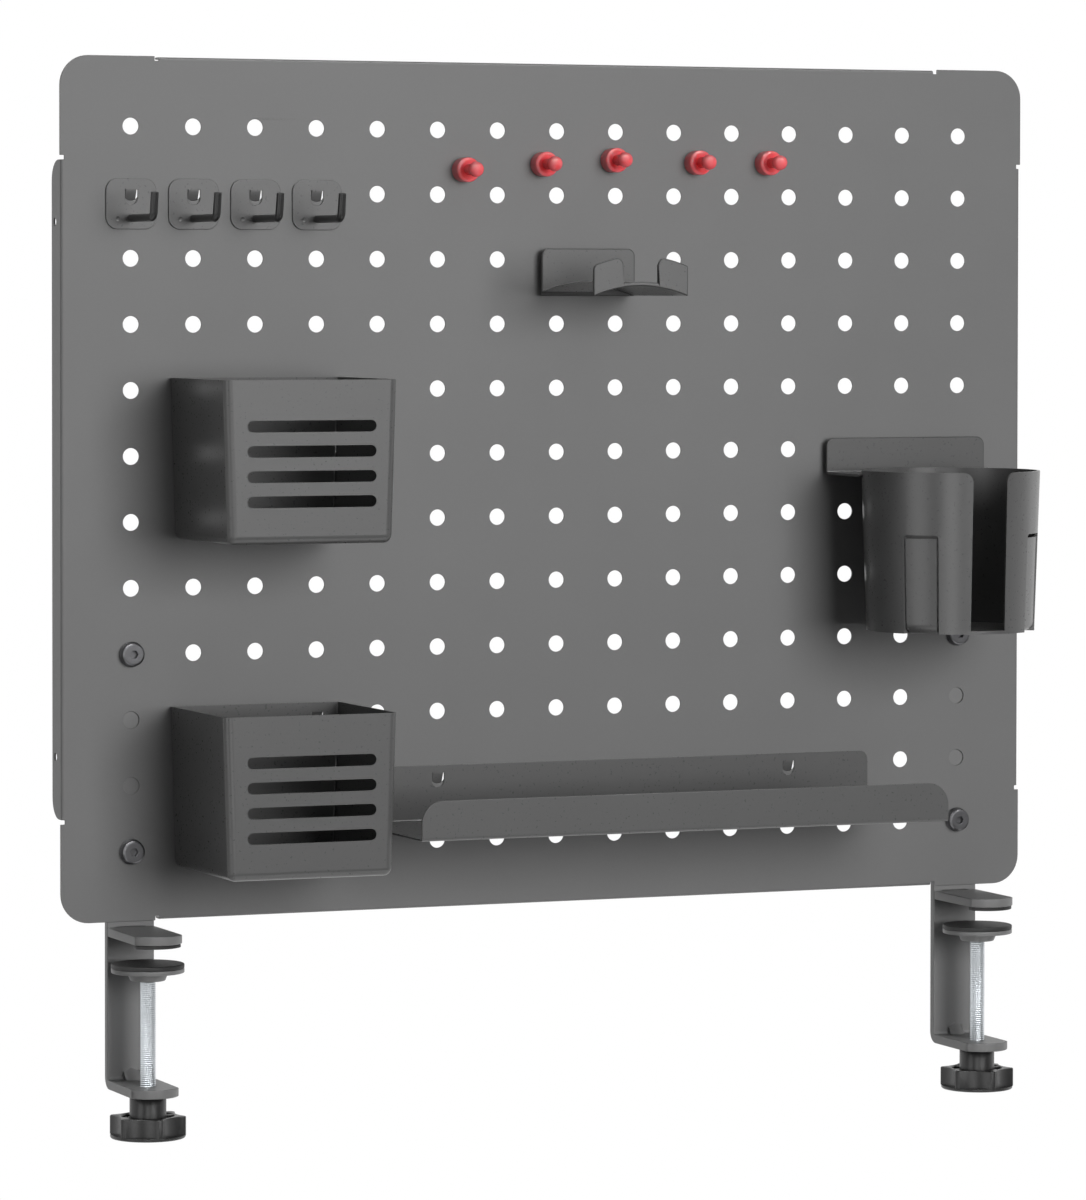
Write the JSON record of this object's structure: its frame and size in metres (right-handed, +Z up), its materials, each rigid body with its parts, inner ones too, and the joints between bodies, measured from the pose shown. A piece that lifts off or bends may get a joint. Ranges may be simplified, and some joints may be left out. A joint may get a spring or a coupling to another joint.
{
  "type": "desk pegboard",
  "caption": "Perforated steel desk pegboard on screw clamps, with lift-off hooks, baskets, tray, cup and headset holders and push-pin magnets.",
  "frame": {"origin": "middle of the desk's rear edge, on the desk top: Z 0 is the underside of the jaw pads and Y 0 is the rear face of the sheet, which is the front of the brackets", "axes": "+X to the right as the user sees the board, +Y behind the board, +Z up"},
  "size_m": [0.65, 0.1397, 0.6524],
  "materials": {
    "panel_powder_coat": "fine matt powder coat",
    "clamp_powder_coat": "fine matt powder coat",
    "accessory_powder_coat": "satin powder coat",
    "hook_rod_coat": "satin powder coat",
    "bolt_black_coat": "black zinc",
    "black_rubber": "matt",
    "black_plastic": "moulded satin",
    "zinc_plated_steel": "bright zinc",
    "red_plastic": "gloss",
    "magnet_steel": "nickel plated"
  },
  "bodies": {
    "board": {"panel": "panel_powder_coat", "left_bracket": "clamp_powder_coat", "right_bracket": "clamp_powder_coat", "left_upper_jaw": "clamp_powder_coat", "right_upper_jaw": "clamp_powder_coat", "left_jaw_pad": "black_rubber", "right_jaw_pad": "black_rubber", "bracket_bolts": "bolt_black_coat"},
    "left_clamp_pad": {"left_pressure_disc": "clamp_powder_coat", "left_disc_rubber": "black_rubber"},
    "left_clamp_screw": {"left_screw_rod": "zinc_plated_steel", "left_knob": "black_plastic"},
    "right_clamp_pad": {"right_pressure_disc": "clamp_powder_coat", "right_disc_rubber": "black_rubber"},
    "right_clamp_screw": {"right_screw_rod": "zinc_plated_steel", "right_knob": "black_plastic"},
    "hook_1": {"hook_1_plate": "accessory_powder_coat", "hook_1_rod": "hook_rod_coat"},
    "hook_2": {"hook_2_plate": "accessory_powder_coat", "hook_2_rod": "hook_rod_coat"},
    "hook_3": {"hook_3_plate": "accessory_powder_coat", "hook_3_rod": "hook_rod_coat"},
    "hook_4": {"hook_4_plate": "accessory_powder_coat", "hook_4_rod": "hook_rod_coat"},
    "upper_bin": {"upper_basket": "accessory_powder_coat"},
    "lower_bin": {"lower_basket": "accessory_powder_coat"},
    "headset_rest": {"headset_holder": "accessory_powder_coat", "headset_hanger_clips": "accessory_powder_coat"},
    "cup_holder": {"cup_back_plate": "accessory_powder_coat", "cup_wall": "accessory_powder_coat", "cup_base": "accessory_powder_coat", "cup_hanger_clips": "accessory_powder_coat"},
    "shelf_tray": {"tray": "accessory_powder_coat"},
    "magnet_1": {"magnet_1_grip": "red_plastic", "magnet_1_core": "magnet_steel"},
    "magnet_2": {"magnet_2_grip": "red_plastic", "magnet_2_core": "magnet_steel"},
    "magnet_3": {"magnet_3_grip": "red_plastic", "magnet_3_core": "magnet_steel"},
    "magnet_4": {"magnet_4_grip": "red_plastic", "magnet_4_core": "magnet_steel"},
    "magnet_5": {"magnet_5_grip": "red_plastic", "magnet_5_core": "magnet_steel"}
  },
  "joints": [
    {"name": "left_pad_slide", "type": "slide", "parent": "board", "child": "left_clamp_pad", "axis": [0, 0, 1], "range_m": [-0.06, 0]},
    {"name": "left_screw_turn", "type": "hinge", "parent": "left_clamp_pad", "child": "left_clamp_screw", "pos_m": [-0.28, -0.0318, -0.06], "axis": [0, 0, 1], "range_deg": [-17280, 0]},
    {"name": "right_pad_slide", "type": "slide", "parent": "board", "child": "right_clamp_pad", "axis": [0, 0, 1], "range_m": [-0.06, 0]},
    {"name": "right_screw_turn", "type": "hinge", "parent": "right_clamp_pad", "child": "right_clamp_screw", "pos_m": [0.28, -0.0318, -0.06], "axis": [0, 0, 1], "range_deg": [-17280, 0]},
    {"name": "hook_1_lift_off", "type": "slide", "parent": "board", "child": "hook_1", "axis": [0, -0.4067, 0.9135], "range_m": [0, 0.04]},
    {"name": "hook_2_lift_off", "type": "slide", "parent": "board", "child": "hook_2", "axis": [0, -0.4067, 0.9135], "range_m": [0, 0.04]},
    {"name": "hook_3_lift_off", "type": "slide", "parent": "board", "child": "hook_3", "axis": [0, -0.4067, 0.9135], "range_m": [0, 0.04]},
    {"name": "hook_4_lift_off", "type": "slide", "parent": "board", "child": "hook_4", "axis": [0, -0.4067, 0.9135], "range_m": [0, 0.04]},
    {"name": "upper_bin_lift_off", "type": "slide", "parent": "board", "child": "upper_bin", "axis": [0, -0.4067, 0.9135], "range_m": [0, 0.04]},
    {"name": "lower_bin_lift_off", "type": "slide", "parent": "board", "child": "lower_bin", "axis": [0, -0.4067, 0.9135], "range_m": [0, 0.04]},
    {"name": "headset_rest_lift_off", "type": "slide", "parent": "board", "child": "headset_rest", "axis": [0, -0.4067, 0.9135], "range_m": [0, 0.04]},
    {"name": "cup_holder_lift_off", "type": "slide", "parent": "board", "child": "cup_holder", "axis": [0, -0.4067, 0.9135], "range_m": [0, 0.04]},
    {"name": "shelf_tray_lift_off", "type": "slide", "parent": "board", "child": "shelf_tray", "axis": [0, -0.4067, 0.9135], "range_m": [0, 0.04]},
    {"name": "magnet_1_pull_off", "type": "slide", "parent": "board", "child": "magnet_1", "axis": [0, -1, 0], "range_m": [0, 0.03]},
    {"name": "magnet_2_pull_off", "type": "slide", "parent": "board", "child": "magnet_2", "axis": [0, -1, 0], "range_m": [0, 0.03]},
    {"name": "magnet_3_pull_off", "type": "slide", "parent": "board", "child": "magnet_3", "axis": [0, -1, 0], "range_m": [0, 0.03]},
    {"name": "magnet_4_pull_off", "type": "slide", "parent": "board", "child": "magnet_4", "axis": [0, -1, 0], "range_m": [0, 0.03]},
    {"name": "magnet_5_pull_off", "type": "slide", "parent": "board", "child": "magnet_5", "axis": [0, -1, 0], "range_m": [0, 0.03]}
  ],
  "couplings": [
    {"joint": "left_pad_slide", "follows": "left_screw_turn", "m_per_rad": 0.00019894},
    {"joint": "right_pad_slide", "follows": "right_screw_turn", "m_per_rad": 0.00019894}
  ]
}
